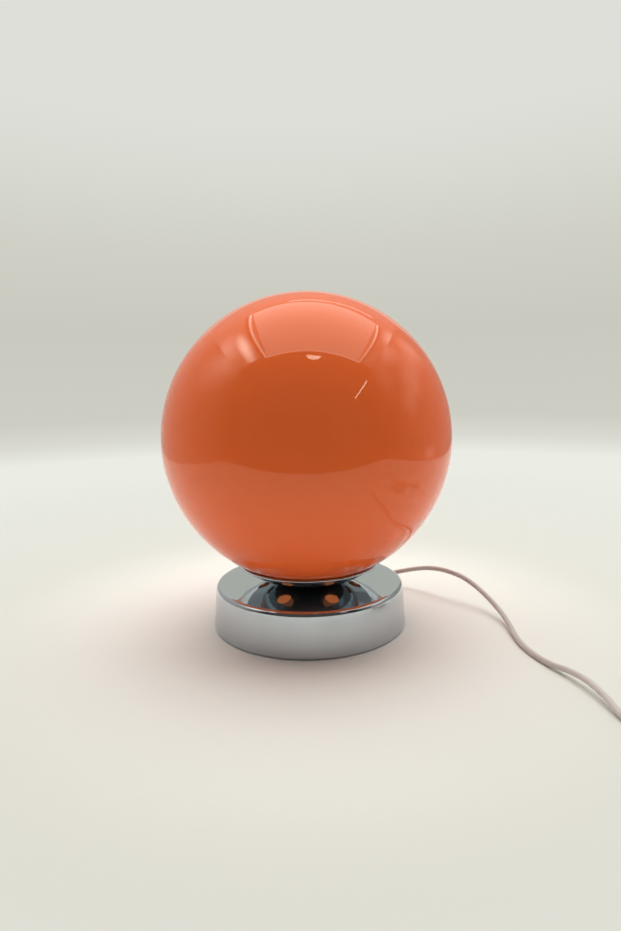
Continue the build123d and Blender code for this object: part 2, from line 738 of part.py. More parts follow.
crown = 2.9
rise = rocker_r * tan(radians(rocker_tilt))
with BuildPart() as rocker_upright:
    with BuildSketch(rocker_side):
        Circle(rocker_r)
        with BuildLine():
            Polyline((0, crown), (rocker_r, crown + rise), (rocker_r, -1), (4, -4.5), (-4, -4.5),
                     (-rocker_r, -1), (-rocker_r, crown + rise), close=True)
        make_face(mode=Mode.INTERSECT)
        Circle(axle_r + 0.07, mode=Mode.SUBTRACT)
    extrude(amount=rocker_w / 2, both=True)
rocker_axis = Axis((switch_x + switch_len / 2, switch_y, rocker_z), (0, 1, 0))
with BuildPart() as switch_rocker:
    add(rocker_upright.part.rotate(rocker_axis, -rocker_tilt))
write(switch_rocker, "switch_rocker")

with BuildPart() as rocker_axle:
    with BuildSketch(rocker_side):
        Circle(axle_r)
    extrude(amount=rocker_w / 2 + 2.1, both=True)
write(rocker_axle, "rocker_axle")

sheath_len = 10.0
with BuildPart() as switch_sheaths:
    with BuildSketch(switch_front):
        Circle(cord_r)
    extrude(amount=sheath_len)
    with BuildSketch(switch_front.offset(switch_len)):
        Circle(cord_r)
    extrude(amount=-sheath_len)
write(switch_sheaths, "switch_sheaths")

terminal_x = 9.5
terminal_y = -6.0
terminal_top_z = switch_wall + 4.5
with BuildPart() as switch_terminals:
    with BuildSketch(switch_plan.offset(switch_wall)):
        with Locations((terminal_x, terminal_y), (-terminal_x, terminal_y)):
            Rectangle(6, 5)
    extrude(amount=terminal_top_z - switch_wall)
write(switch_terminals, "switch_terminals")

with BuildPart() as switch_blade:
    with BuildSketch(switch_side.offset(-terminal_y)):
        with BuildLine():
            Polyline((-terminal_x - 2.5, terminal_top_z), (-5.5, terminal_top_z), (-1, terminal_top_z + 2),
                     (3, terminal_top_z + 2), (terminal_x, terminal_top_z + 1),
                     (terminal_x, terminal_top_z + 1.5), (3, terminal_top_z + 2.5),
                     (-1.2, terminal_top_z + 2.5), (-5.7, terminal_top_z + 0.5),
                     (-terminal_x - 2.5, terminal_top_z + 0.5), close=True)
        make_face()
    extrude(amount=2, both=True)
write(switch_blade, "switch_blade")

inner_x = switch_len / 2 - sheath_len


def in_switch(x, y, z):
    """Point in the row's frame from one in the switch's plan."""
    return (switch_plan.origin.X + x, switch_y + y, z)


with BuildPart() as switch_cores:
    add(tube([in_switch(-inner_x, wire_offset, switch_z), in_switch(-inner_x + 2, wire_offset, switch_z),
              in_switch(-inner_x + 7, 4, 6), in_switch(-6, 6.5, 4), in_switch(6, 6.6, 4),
              in_switch(inner_x - 7, 4, 6), in_switch(inner_x - 2, wire_offset, switch_z),
              in_switch(inner_x, wire_offset, switch_z)], core_r, "through core").part)
    for side in (-1, 1):
        add(tube([in_switch(side * inner_x, -wire_offset, switch_z),
                  in_switch(side * (inner_x - 2), -wire_offset, switch_z),
                  in_switch(side * (inner_x - 4.2), -3.8, 6),
                  in_switch(side * (terminal_x + 5.4), terminal_y, 4.4),
                  in_switch(side * (terminal_x + 3.1), terminal_y, 4.4)], core_r, "switched core").part)
write(switch_cores, "switch_cores")

# ---------------------------------------------------------------- free cord, switch to coil
switch_end_x = switch_x + switch_len
coil_start_y = coil_y - 2 * cord_r
switch_side_cord = [(switch_end_x, switch_y, switch_z), (switch_end_x + 14, switch_y, switch_z),
                    (365, -237.5, 5.6), (375.3, -225.3, 3.0), (378.3, -208.5, cord_r),
                    (373.6, -191.1, cord_r), (365.2, -175.2, cord_r), (coil_x, -159, cord_r),
                    (coil_x, coil_start_y, cord_r)]
write(tube(switch_side_cord, cord_r, "free_cord_switch"), "free_cord_switch")

# ---------------------------------------------------------------- coil of spare cord, two layers
turn_step = cord_r + coil_turn_gap / 2
layer_step = 2 * cord_r + coil_layer_gap


def half_turns():
    """Radius and height of each half turn: in along the lower layer, out along the upper one."""
    inward = [(coil_r - k * turn_step, cord_r) for k in range(coil_half_turns_in)]
    last = coil_r - (coil_half_turns_in - 1) * turn_step
    outward = [(last + k * turn_step, cord_r + layer_step) for k in range(coil_half_turns_out)]
    return inward, coil_r - coil_half_turns_in * turn_step, outward


def coil_arcs():
    """The coil's line as plain arcs: (start, middle, end) for each."""
    inward, climb_r, outward = half_turns()
    x, heading, arcs = coil_x, 1, []

    def flat(radius, z):
        nonlocal x, heading
        end = x - heading * 2 * radius
        arcs.append(((x, coil_y, z), ((x + end) / 2, coil_y + heading * radius, z), (end, coil_y, z)))
        x, heading = end, -heading

    for radius, z in inward:
        flat(radius, z)
    end = x - heading * 2 * climb_r
    middle = ((x + end) / 2, coil_y + heading * sqrt(climb_r**2 + layer_step**2 / 4), cord_r + layer_step / 2)
    climb = ((x, coil_y, cord_r), middle, (end, coil_y, cord_r + layer_step), heading)
    x, heading = end, -heading
    split = len(arcs)
    for radius, z in outward:
        flat(radius, z)
    return arcs[:split], climb, arcs[split:]


with BuildPart() as cord_coil:
    lower_arcs, climb, upper_arcs = coil_arcs()
    with BuildLine() as coil_line:
        Line((coil_x, coil_start_y, cord_r), (coil_x, coil_y, cord_r))
        for start, middle, end in lower_arcs:
            ThreePointArc(start, middle, end)
        rising = TangentArc(climb[0], climb[1], tangent=(0, climb[3], 0))
        TangentArc(climb[1], climb[2], tangent=rising % 1)
        for start, middle, end in upper_arcs:
            ThreePointArc(start, middle, end)
        coil_end = upper_arcs[-1][2]
        Line(coil_end, (coil_end[0], coil_y + 2 * cord_r, coil_end[2]))
    with BuildSketch(Plane(origin=(coil_x, coil_start_y, cord_r), z_dir=(0, 1, 0))):
        Circle(cord_r)
    sweep()
write(cord_coil, "cord_coil")


def least_gap(line, apart):
    """Least free gap between stretches of the coil that lie apart along its length."""
    length = line.length
    count = int(length / 3)
    spots = [line @ (i / count) for i in range(count + 1)]
    skip = int(apart / (length / count)) + 1
    return min((spots[i] - spots[j]).length for i in range(count + 1) for j in range(i + skip, count + 1)) \
        - 2 * cord_r


coil_wire = coil_line.wires()[0]
print(f"cord_coil: length {coil_wire.length:.1f}, volume {cord_coil.part.volume:.0f}, "
      f"section x length {pi * cord_r**2 * coil_wire.length:.0f}, "
      f"least gap {least_gap(coil_wire, 8 * cord_r):.2f}")

# ---------------------------------------------------------------- free cord, coil to plug
plug_x = coil_x + 1.5
plug_z = plug_t / 2
tail_y = coil_end[1] + 2 * cord_r + 44
plug_cord = [(coil_x, coil_y + 2 * cord_r, coil_end[2]), (coil_x, coil_y + 2 * cord_r + 15, coil_end[2]),
             (plug_x, tail_y - 15, plug_z), (plug_x, tail_y, plug_z)]
write(tube(plug_cord, cord_r, "free_cord_plug"), "free_cord_plug")

# ---------------------------------------------------------------- two-pin plug


def plug_plane(along):
    """Plane across the plug, a distance along it from the tail's end."""
    return Plane(origin=(plug_x, tail_y + along, plug_z), x_dir=(-1, 0, 0), z_dir=(0, 1, 0))


with BuildPart() as plug_body:
    with BuildSketch(plug_plane(plug_tail_len)):
        RectangleRounded(plug_w * 0.45, plug_t * 0.9, plug_t * 0.4)
    with BuildSketch(plug_plane(plug_tail_len + plug_len * 0.6)):
        RectangleRounded(plug_w * 0.94, plug_t, plug_t * 0.45)
    with BuildSketch(plug_plane(plug_tail_len + plug_len)):
        RectangleRounded(plug_w, plug_t, plug_t * 0.45)
    loft(ruled=True)
    fillet(plug_body.edges().group_by(Axis.Y)[-1], 0.8)
    with BuildSketch(plug_plane(0)):
        Circle(plug_tail_r - 1.2)
    with BuildSketch(plug_plane(plug_tail_len)):
        Circle(plug_tail_r)
    loft()
    with BuildSketch(plug_plane(plug_tail_len)):
        Circle(plug_tail_r)
    extrude(amount=3)
    for groove in range(4):
        with BuildSketch(plug_plane(5 + 5 * groove)):
            Circle(2 * plug_tail_r)
            Circle(plug_tail_r - 1.4 + 0.14 * groove, mode=Mode.SUBTRACT)
        extrude(amount=1.8, mode=Mode.SUBTRACT)
    with BuildSketch(plug_plane(plug_tail_len + plug_len)):
        with Locations((pin_span / 2, 0), (-pin_span / 2, 0)):
            Circle(pin_r)
    extrude(amount=-12, mode=Mode.SUBTRACT)
write(plug_body, "plug_body")

with BuildPart() as plug_pins:
    with BuildSketch(plug_plane(plug_tail_len + plug_len - 12)):
        with Locations((pin_span / 2, 0), (-pin_span / 2, 0)):
            Circle(pin_r)
    extrude(amount=12 + pin_len)
    fillet(plug_pins.edges().group_by(Axis.Y)[-1], pin_r * 0.8)
    with BuildSketch(plug_plane(plug_tail_len + plug_len)):
        with Locations((pin_span / 2, 0), (-pin_span / 2, 0)):
            Circle(2 * pin_r)
            Circle(pin_r - 0.35, mode=Mode.SUBTRACT)
    extrude(amount=pin_sleeve_len, mode=Mode.SUBTRACT)
write(plug_pins, "plug_pins")

with BuildPart() as pin_sleeves:
    with BuildSketch(plug_plane(plug_tail_len + plug_len)):
        with Locations((pin_span / 2, 0), (-pin_span / 2, 0)):
            Circle(pin_r)
            Circle(pin_r - 0.35, mode=Mode.SUBTRACT)
    extrude(amount=pin_sleeve_len)
write(pin_sleeves, "pin_sleeves")
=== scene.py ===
import json
from math import cos, pi, radians, sin

import bmesh
import bpy
import numpy as np
from mathutils import Matrix, Vector


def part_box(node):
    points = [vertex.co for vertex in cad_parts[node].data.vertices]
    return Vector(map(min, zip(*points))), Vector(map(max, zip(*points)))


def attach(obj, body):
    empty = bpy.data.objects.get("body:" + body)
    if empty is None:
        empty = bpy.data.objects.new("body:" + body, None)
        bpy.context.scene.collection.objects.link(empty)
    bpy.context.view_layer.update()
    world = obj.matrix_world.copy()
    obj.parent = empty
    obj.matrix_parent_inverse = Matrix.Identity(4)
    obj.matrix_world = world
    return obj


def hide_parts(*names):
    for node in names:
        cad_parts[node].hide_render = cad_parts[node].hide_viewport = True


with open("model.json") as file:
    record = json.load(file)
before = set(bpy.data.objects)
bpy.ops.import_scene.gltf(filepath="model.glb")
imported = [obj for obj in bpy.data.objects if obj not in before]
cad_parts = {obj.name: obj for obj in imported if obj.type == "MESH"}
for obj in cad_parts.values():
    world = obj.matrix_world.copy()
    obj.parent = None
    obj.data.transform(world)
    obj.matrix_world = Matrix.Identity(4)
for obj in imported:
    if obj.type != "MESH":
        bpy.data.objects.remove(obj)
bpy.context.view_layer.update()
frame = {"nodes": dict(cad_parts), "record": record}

# Glass globe table lamp. Metres, Z up, the lamp stands on z = 0 and the camera side is -Y.
# Every new surface is worked out with numpy as a grid of points and stays at the origin, unturned.

MM = 0.001
nodes = frame["nodes"]

# ---------------------------------------------------------------- sizes shared with the part, in mm
globe_r, globe_wall, neck_r = 125.0, 3.0, 51.0
casing_t = 0.8                      # orange glass over the opal lining
layer_gap = 0.02                    # keeps the two layers' faces apart
cord_r = 2.3
exit_angle, exit_z = 48.0, 13.8
exit_start = 90.1                   # where the free cord begins, from the lamp's axis
switch_z = 8.0                      # the cord's axis in the switch
switch_in, switch_out, switch_y = 274.0, 336.0, -243.0
coil_r, coil_step = 37.0, 2.55      # half turn on the cord's axis, and its change at each half turn
coil_centre = (323.0, -140.0)
coil_layer = 5.05
coil_half_turns = 8                 # in each layer, the climb counted with the lower one


# ---------------------------------------------------------------- materials
def linear(code):
    """sRGB hex to linear RGBA: c / 12.92 in the dark, ((c + 0.055) / 1.055) ** 2.4 above."""
    channels = [int(code[k:k + 2], 16) / 255 for k in (0, 2, 4)]
    return [c / 12.92 if c <= 0.04045 else ((c + 0.055) / 1.055) ** 2.4 for c in channels] + [1.0]


def add(tree, kind, inputs=None, **properties):
    """One node. Its inputs, by name or number, take another node's socket or a value of their own."""
    made = tree.nodes.new(kind)
    for key, value in properties.items():
        setattr(made, key, value)
    for key, given in (inputs or {}).items():
        if isinstance(given, bpy.types.NodeSocket):
            tree.links.new(given, made.inputs[key])
        else:
            made.inputs[key].default_value = given
    return made


def blank(name):
    """A new material, its empty node tree and its output's surface socket."""
    made = bpy.data.materials.new(name)
    made.use_nodes = True
    tree = made.node_tree
    tree.nodes.clear()
    return made, tree, add(tree, "ShaderNodeOutputMaterial").inputs["Surface"]


patch_mm = 22                       # size of the soft patches in a finish's colour


def finish_of(name, colour, rough, grain_mm=1.0, grain=0.08, shade=0.06, bump=0.0, **inputs):
    """A surface whose roughness drifts by the share grain over a noise of grain_mm, and its colour by the
    share shade over patches of patch_mm. bump is that fine noise's depth in mm. A real texture too fine for
    the picture has the smallest grain_mm that still shows."""
    made, tree, surface = blank(name)
    place = add(tree, "ShaderNodeTexCoord").outputs["Object"]
    fine = add(tree, "ShaderNodeTexNoise", {"Vector": place, "Scale": 1 / (grain_mm * MM), "Detail": 4.0})
    spread = add(tree, "ShaderNodeMapRange", {"Value": fine.outputs["Fac"],
                                              "To Min": max(0.0, rough * (1 - grain)),
                                              "To Max": min(1.0, rough * (1 + grain))})
    base = linear(colour)
    shader = add(tree, "ShaderNodeBsdfPrincipled", {"Base Color": base, "Roughness": spread.outputs[0]})
    for key, value in inputs.items():
        shader.inputs[key.replace("_", " ")].default_value = value
    if shade:
        broad = add(tree, "ShaderNodeTexNoise", {"Vector": place, "Scale": 1 / (patch_mm * MM),
                                                 "Detail": 2.0})
        low = [c * (1 - shade) for c in base[:3]] + [1.0]
        high = [min(1.0, c * (1 + shade)) for c in base[:3]] + [1.0]
        tint = add(tree, "ShaderNodeMix", {"Factor": broad.outputs["Fac"], 6: low, 7: high}, data_type="RGBA")
        tree.links.new(tint.outputs[2], shader.inputs["Base Color"])
    if bump:
        relief = add(tree, "ShaderNodeBump", {"Height": fine.outputs["Fac"], "Distance": bump * MM,
                                              "Strength": 1.0})
        tree.links.new(relief.outputs["Normal"], shader.inputs["Normal"])
    tree.links.new(shader.outputs["BSDF"], surface)
    return made


# Blown soda glass cased in orange: glossy like a wet skin, its colour deep and even.
orange_glass = finish_of("cased_orange_glass", "EE6A33", 0.015, grain_mm=45, grain=0.3, shade=0.015,
                         bump=0.03, IOR=1.5, Specular_Tint=(1.0, 0.92, 0.78, 1.0))
# Opal glass lining: milky white, with a painted glow: it lights itself orange in place of light through the
# casing.
opal_glass_with_painted_glow = finish_of("opal_glass_lining", "F4DCC4", 0.12, grain_mm=30, grain=0.2, shade=0.02, IOR=1.5,
                       Emission_Color=(1.0, 0.36, 0.13, 1.0), Emission_Strength=0.13)
# Bright chromium over spun brass and steel: mirror-like, with the faintest lapping haze.
chrome = finish_of("bright_chrome_plate", "BEC7CC", 0.022, grain_mm=0.8, grain=0.35, shade=0.01,
                   Metallic=0.93)
base_chrome = finish_of("chrome_plate_on_spun_base", "C3CBD0", 0.022, grain_mm=0.8, grain=0.35, shade=0.03,
                        Metallic=0.94)
# Soft PVC extruded over the cores: a dull satin, greyed with age.
grey_pvc = finish_of("grey_white_pvc_cable_sheath", "C0BAB4", 0.42, grain_mm=0.5, grain=0.12, shade=0.03,
                     bump=0.01, IOR=1.5)
# Phenolic pressed in a polished mould: nearly black, with a soft sheen.
black_plastic = finish_of("moulded_black_phenolic", "1A1918", 0.33, grain_mm=0.9, bump=0.012, IOR=1.55)
# Polycarbonate moulded with a fine spark texture: a warm satin white.
white_plastic = finish_of("moulded_white_polycarbonate", "E4E1DA", 0.36, grain_mm=0.8, bump=0.008, IOR=1.55)
# Zinc-plated steel: pale and slightly mottled.
zinc_steel = finish_of("zinc_plated_steel", "B4B7BA", 0.3, grain_mm=1.6, grain=0.3, shade=0.08, Metallic=1.0)
# Nickel over turned brass: warmer and brighter than the zinc.
nickel_brass = finish_of("nickel_plated_brass", "C9C0AE", 0.2, grain_mm=1.2, grain=0.3, shade=0.05,
                         Metallic=1.0)
# Iron as it leaves the sand: dark, rough and grainy.
iron = finish_of("grey_cast_iron", "6A6A69", 0.62, grain_mm=1.4, grain=0.2, shade=0.12, bump=0.08,
                 Metallic=0.9)
# Pressed wool felt: it takes nearly all the light.
felt = finish_of("dark_wool_felt", "2B2A28", 0.95, grain_mm=0.35, grain=0.04, shade=0.2, bump=0.12)
# Soft clear PVC: a milky grey ring.
rubber = finish_of("clear_soft_pvc_ring", "8E8A84", 0.4, grain_mm=0.7, bump=0.01, IOR=1.5)
# Glazed porcelain: white under a wet-looking glaze.
porcelain = finish_of("glazed_porcelain", "EDEAE2", 0.12, grain_mm=3.0, shade=0.03, IOR=1.5)
# PVC core of the cord: brown, satin.
brown_core = finish_of("brown_pvc_core", "6B3F26", 0.4, grain_mm=0.6, bump=0.008, IOR=1.5)
# Drawn tungsten wire: a dull dark metal.
tungsten = finish_of("drawn_tungsten_wire", "8A8680", 0.35, grain_mm=0.4, Metallic=1.0)
# Drawn lamp glass, clear all through.
clear_glass = finish_of("clear_lamp_glass", "FFFFFF", 0.02, grain_mm=30, shade=0.0, IOR=1.5,
                        Transmission_Weight=1.0)
# Blown lamp glass etched inside: it lets light through, but no picture.
frosted_glass = finish_of("inside_frosted_lamp_glass", "F4F1EA", 0.28, grain_mm=0.5, shade=0.01, bump=0.004,
                          IOR=1.5, Transmission_Weight=0.6)


def cloud_wall(made, top_z):
    """Soft clouds in the chromium down the drum's wall, where polishing wheels reach less well: its roughness
    grows by 0.1 to 0.24 over a noise of 15.4 mm, from 2.5 mm under the top to its full share at 7 mm."""
    tree = made.node_tree
    rough = tree.nodes["Principled BSDF"].inputs["Roughness"]
    place = add(tree, "ShaderNodeTexCoord").outputs["Object"]
    height = add(tree, "ShaderNodeSeparateXYZ", {"Vector": place}).outputs["Z"]
    wall = add(tree, "ShaderNodeMapRange", {"Value": height, "From Min": top_z - 2.5 * MM,
                                            "From Max": top_z - 7 * MM}, interpolation_type="SMOOTHSTEP")
    cloud = add(tree, "ShaderNodeTexNoise", {"Vector": place, "Scale": 1 / (15.4 * MM), "Detail": 3.0})
    haze = add(tree, "ShaderNodeMapRange", {"Value": cloud.outputs["Fac"], "From Min": 0.3, "From Max": 0.7,
                                            "To Min": 0.1, "To Max": 0.24})
    share = add(tree, "ShaderNodeMath", {0: haze.outputs[0], 1: wall.outputs[0]}, operation="MULTIPLY")
    total = add(tree, "ShaderNodeMath", {0: rough.links[0].from_socket, 1: share.outputs[0]}, operation="ADD")
    tree.links.new(total.outputs[0], rough)


cloud_wall(base_chrome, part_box("base_shell")[1].z)

by_slot = {"orange_cased_glass": orange_glass, "chrome_plate": chrome, "grey_pvc": grey_pvc,
           "black_plastic": black_plastic, "white_plastic": white_plastic, "zinc_steel": zinc_steel,
           "nickel_brass": nickel_brass, "cast_iron_grey": iron, "dark_felt": felt, "clear_rubber": rubber,
           "porcelain": porcelain, "brown_core": brown_core, "tungsten_wire": tungsten,
           "clear_glass": clear_glass, "frosted_glass": frosted_glass}
slot_of = {row["node"]: row["material_slot"] for row in frame["record"]["subparts"]}
for name, part in nodes.items():
    part.data.materials.clear()
    part.data.materials.append(base_chrome if name == "base_shell" else by_slot[slot_of[name]])


# ---------------------------------------------------------------- mesh helpers
def ring_quads(rows, columns, close_rows=False):
    """Corners of the quads over a grid of points. Its columns join round, and its rows do if asked."""
    index = np.arange(rows * columns).reshape(rows, columns)
    upper = np.roll(index, -1, 0) if close_rows else index[1:]
    lower = index if close_rows else index[:-1]
    return np.stack([lower, np.roll(lower, -1, 1), np.roll(upper, -1, 1), upper], -1).reshape(-1, 4).tolist()


def revolved(profile, count):
    """Points of an (r, z) profile turned about Z: x = r cos t, y = r sin t, z = z."""
    t = np.arange(count) * 2 * pi / count
    r, z = np.asarray(profile, float).T
    points = np.stack([np.outer(r, np.cos(t)), np.outer(r, np.sin(t)), np.outer(z, np.ones(count))], -1)
    return points.reshape(-1, 3)


def arc(centre, radius, start, end, count):
    """Points of a circle's arc in the (r, z) plane, angles in degrees from +r."""
    a = np.radians(np.linspace(start, end, count))
    return np.stack([centre[0] + radius * np.cos(a), centre[1] + radius * np.sin(a)], -1)


def turned(name, profile, material, count=192):
    """A smooth piece turned from a closed profile in mm. Its points on the axis are merged."""
    mesh = bpy.data.meshes.new(name)
    mesh.from_pydata(revolved(profile, count) * MM, [], ring_quads(len(profile), count, close_rows=True))
    work = bmesh.new()
    work.from_mesh(mesh)
    bmesh.ops.remove_doubles(work, verts=work.verts, dist=1e-7)
    bmesh.ops.dissolve_degenerate(work, edges=work.edges, dist=1e-8)
    bmesh.ops.recalc_face_normals(work, faces=work.faces)
    work.to_mesh(mesh)
    work.free()
    mesh.polygons.foreach_set("use_smooth", np.ones(len(mesh.polygons), bool))
    mesh.materials.append(material)
    piece = bpy.data.objects.new(name, mesh)
    bpy.context.scene.collection.objects.link(piece)
    return piece


# ---------------------------------------------------------------- globe
low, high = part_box("glass_globe")
globe_top, globe_foot = high.z / MM, low.z / MM
globe_z = globe_top - globe_r


def globe_half(radius, mouth_r, foot_z, count=97):
    """From the pole down the sphere to the neck's radius, then straight down to the foot."""
    stop = -np.degrees(np.arccos(mouth_r / radius))
    return np.concatenate([arc((0, globe_z), radius, 90, stop, count), [(mouth_r, foot_z)]])


lip = globe_wall / 3
outer = globe_half(globe_r, neck_r, globe_foot + lip)
parting = globe_half(globe_r - casing_t, neck_r - casing_t, globe_foot)
inner = globe_half(globe_r - globe_wall, neck_r - globe_wall, globe_foot + lip)
outer_lip = arc((neck_r - lip, globe_foot + lip), lip, 0, -78, 7)[1:]
inner_lip = arc((neck_r - globe_wall + lip, globe_foot + lip), lip, -90, -180, 7)[:-1]
casing = turned("globe_orange_casing", np.concatenate([outer, outer_lip, parting[::-1]]), orange_glass)
lining = turned("globe_opal_lining", np.concatenate([parting - [layer_gap, 0.0], inner_lip, inner[::-1]]),
                opal_glass_with_painted_glow)
for piece in (casing, lining):
    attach(piece, "globe")
    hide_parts("glass_globe")


# ---------------------------------------------------------------- cords
def cord_piece(name, points):
    """A round cord along a quadratic NURBS whose control points are the route's own, in mm."""
    curve = bpy.data.curves.new(name, "CURVE")
    curve.dimensions = "3D"
    spline = curve.splines.new("NURBS")
    spline.points.add(len(points) - 1)
    spline.points.foreach_set("co", np.c_[np.asarray(points) * MM, np.ones(len(points))].ravel())
    spline.order_u = 3
    spline.use_endpoint_u = True
    spline.resolution_u = 12
    curve.bevel_depth = cord_r * MM
    curve.bevel_resolution = 5
    curve.use_fill_caps = True
    curve.materials.append(grey_pvc)
    piece = bpy.data.objects.new(name, curve)
    bpy.context.scene.collection.objects.link(piece)
    return piece


def on_exit_line(distance):
    """Point of the cord's way out of the drum, at the bush's height."""
    return (distance * cos(radians(exit_angle)), distance * sin(radians(exit_angle)), exit_z)


def coil_points(per_half_turn=8):
    """Spiral in on the table, a climb, and a spiral out on top: the radius falls by coil_step each half turn,
    h, and then grows again. The control points stand out by 1 / cos(half a step), so that the cord's axis
    keeps the radius."""
    h = np.arange(0, 2 * coil_half_turns * per_half_turn + 1) / per_half_turn
    inward = h <= coil_half_turns
    radius = coil_r + coil_step * np.where(inward, 0.5 - h, h - coil_half_turns - 6.5)
    middle = coil_centre[0] - coil_step * np.where(inward, 0.5, 1.5)
    z = cord_r + coil_layer * np.clip(h - coil_half_turns + 1, 0, 1)
    radius = radius / cos(pi / per_half_turn / 2)
    return np.stack([middle + radius * np.cos(pi * h), coil_centre[1] + radius * np.sin(pi * h), z], -1)


lamp_route = [on_exit_line(exit_start), on_exit_line(104.3), (85.5, 83.5, 14.8), (100.5, 80.5, 18.3),
              (112.5, 71, 23.3), (122.5, 58, 27.5), (135, 44, 29.1), (150, 30, 25.6), (162, 13.5, 17.2),
              (170, -6.5, 9.4), (172.5, -29.5, 4.9), (170.5, -53.5, 2.6), (171.5, -78.5, 2.3),
              (179, -103, 2.3), (190, -126, 6.3), (195.5, -152.5, 6.7), (197, -179, 2.3), (205, -203, 2.3),
              (219, -224, 2.8), (239, -238, 5.2), (258, switch_y, switch_z), (switch_in, switch_y, switch_z)]
plug_route = [(switch_out, switch_y, switch_z), (350, switch_y, switch_z), (365, -237.5, 5.6),
              (375.3, -225.3, 3), (378.3, -208.5, 2.3), (373.6, -191.1, 2.3), (365.2, -175.2, 2.3),
              (360, -159, 2.3), (360, -149, 2.3), *coil_points(), (360, -132, 7.35), (360, -120.4, 7.35),
              (361.5, -106.4, 6.85), (361.5, -91.4, 6.85)]

lamp_cord = cord_piece("cord_lamp_to_switch", lamp_route)
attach(lamp_cord, "lamp")
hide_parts("free_cord_lamp")
plug_cord = cord_piece("cord_switch_to_plug", plug_route)
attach(plug_cord, "lamp")
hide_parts("free_cord_switch", "cord_coil", "free_cord_plug")


# ---------------------------------------------------------------- camera
view_point = (0.00297, -0.54366, 0.21855)
view_pitch, view_roll = radians(8.0446), radians(-1.058)
focal_px, picture_px = 620, 931     # focal length and the picture's long side
forward = Vector((0, cos(view_pitch), -sin(view_pitch)))
side = Vector((1, 0, 0))
upward = side.cross(forward)
right = cos(view_roll) * side + sin(view_roll) * upward
top = -sin(view_roll) * side + cos(view_roll) * upward
lens = bpy.data.cameras.new("photo_view")
lens.sensor_width = 36
lens.lens = lens.sensor_width * focal_px / picture_px
lens.clip_start, lens.clip_end = 0.01, 50
camera = bpy.data.objects.new("photo_view", lens)
turn = Matrix((right, top, -forward)).transposed()
camera.matrix_world = Matrix.Translation(view_point) @ turn.to_4x4()
bpy.context.scene.collection.objects.link(camera)
bpy.context.scene.camera = camera


# ---------------------------------------------------------------- stage
# Floor, backdrop and the white tent that the mirror finishes show.
def stage_piece(name, points, faces, material, **seen):
    """A stage mesh that only the named kinds of ray meet."""
    mesh = bpy.data.meshes.new(name)
    mesh.from_pydata(points, [], faces)
    mesh.materials.append(material)
    piece = bpy.data.objects.new(name, mesh)
    bpy.context.scene.collection.objects.link(piece)
    for key in ("camera", "diffuse", "glossy", "transmission", "shadow"):
        setattr(piece, "visible_" + key, seen.get(key, False))


def glow(name, levels, spots=()):
    """Self-lit white cloth. levels: (metres along Y, strength), joined by straight slopes, or one of them for
    an even glow. spots: (centre, radii, strength) of soft round patches added to the slopes."""
    made, tree, surface = blank(name)
    light = add(tree, "ShaderNodeEmission", {"Color": linear("F3EEE6"), "Strength": levels[0][1]})
    tree.links.new(light.outputs[0], surface)
    if len(levels) == 1:
        return made
    point = add(tree, "ShaderNodeTexCoord").outputs["Object"]
    y = add(tree, "ShaderNodeSeparateXYZ", {"Vector": point}).outputs["Y"]
    parts = []
    for k, ((start, low), (end, high)) in enumerate(zip(levels, levels[1:])):
        ground = low if k == 0 else 0.0
        parts.append(add(tree, "ShaderNodeMapRange", {"Value": y, "From Min": start, "From Max": end,
                                                      "To Min": ground, "To Max": ground + high - low}))
    for centre, radii, strength in spots:
        away = add(tree, "ShaderNodeVectorMath", {0: point, 1: centre}, operation="SUBTRACT")
        away = add(tree, "ShaderNodeVectorMath", {0: away.outputs[0], 1: radii}, operation="DIVIDE")
        away = add(tree, "ShaderNodeVectorMath", {0: away.outputs[0]}, operation="LENGTH")
        parts.append(add(tree, "ShaderNodeMapRange", {"Value": away.outputs["Value"], "To Min": strength,
                                                      "To Max": 0.0}, interpolation_type="SMOOTHSTEP"))
    total = parts[0].outputs[0]
    for part in parts[1:]:
        total = add(tree, "ShaderNodeMath", {0: total, 1: part.outputs[0]}, operation="ADD").outputs[0]
    tree.links.new(total, light.inputs["Strength"])
    return made


def card(name, corners, levels, spots=()):
    """A four-cornered glowing card that only mirror finishes see."""
    stage_piece(name, corners, [(0, 1, 2, 3)], glow(name, levels, spots), glossy=True)


def strip(name, path, width, strength, across=(1, 0, 0)):
    """A narrow glowing band along a path."""
    path = np.asarray(path, float)
    half = np.asarray(across, float) * width / 2
    count = len(path)
    stage_piece(name, np.concatenate([path - half, path + half]).tolist(),
                [(k, k + 1, k + 1 + count, k + count) for k in range(count - 1)],
                glow(name, [(0, strength)]), glossy=True)


def level_card(x0, x1, y0, y1, z):
    """Corners of a level rectangle."""
    return [(x0, y0, z), (x1, y0, z), (x1, y1, z), (x0, y1, z)]


def upright_card(x, y0, y1, z1):
    """Corners of an upright rectangle that runs along Y from the floor."""
    return [(x, y0, 0), (x, y1, 0), (x, y1, z1), (x, y0, z1)]


# Matt white card: no shine, and the lightest drift of its roughness.
matt = {"grain_mm": 4, "grain": 0.02, "Specular_IOR_Level": 0.1}
near_white, far_white_painted_shade, horizon = "E8E9E1", "CBCCC3", "EBECE4"
paper = finish_of("matt_white_card", near_white, 0.9, shade=0.0, **matt)
# The next two are the same card: one painted darker (painted shade, for mirrors), one painted lighter
# (painted light, for bounce).
mirror_card_painted_darker = finish_of("white_card_painted_darker_for_mirrors", "DEDED6", 0.9, shade=0.005, **matt)
bounce_card_painted_lighter = finish_of("white_card_painted_lighter_for_bounce", "F2F0E9", 0.9, shade=0.005, **matt)
